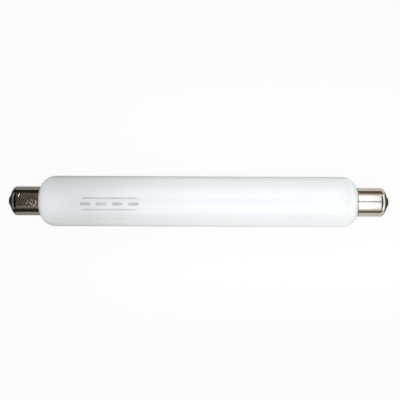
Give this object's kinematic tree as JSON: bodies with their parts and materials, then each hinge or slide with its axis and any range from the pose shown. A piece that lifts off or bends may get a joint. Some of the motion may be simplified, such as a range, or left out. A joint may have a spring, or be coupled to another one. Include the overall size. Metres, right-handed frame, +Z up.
{
  "type": "tubular light bulb",
  "caption": "Straight tubular lamp of opal glass with rounded shoulders, and at each end a plain round metal cap with a domed centre contact on a black glass insulator.",
  "frame": {"origin": "middle of the lamp on its axis", "axes": "+X along the lamp's axis towards the right-hand contact; Y and Z across it, +Z up"},
  "size_m": [0.2, 0.0264, 0.0264],
  "materials": {
    "opal_glass": "white opal glass, smooth and softly glossy",
    "nickel_plated_brass": "nickel plated, bright, lightly marked by handling",
    "basing_cement": "matt, pale",
    "black_glass": "black, glossy",
    "contact_brass": "dark, tarnished",
    "solder": "dull dark grey",
    "lead_wire": "bare copper alloy"
  },
  "bodies": {
    "root": {"opal_tube": "opal_glass", "cap_shell_left": "nickel_plated_brass", "cap_shell_right": "nickel_plated_brass", "cement_left": "basing_cement", "cement_right": "basing_cement", "insulator_left": "black_glass", "insulator_right": "black_glass", "contact_left": "contact_brass", "contact_right": "contact_brass", "solder_left": "solder", "solder_right": "solder", "lead_wire_left": "lead_wire", "lead_wire_right": "lead_wire"}
  },
  "joints": []
}
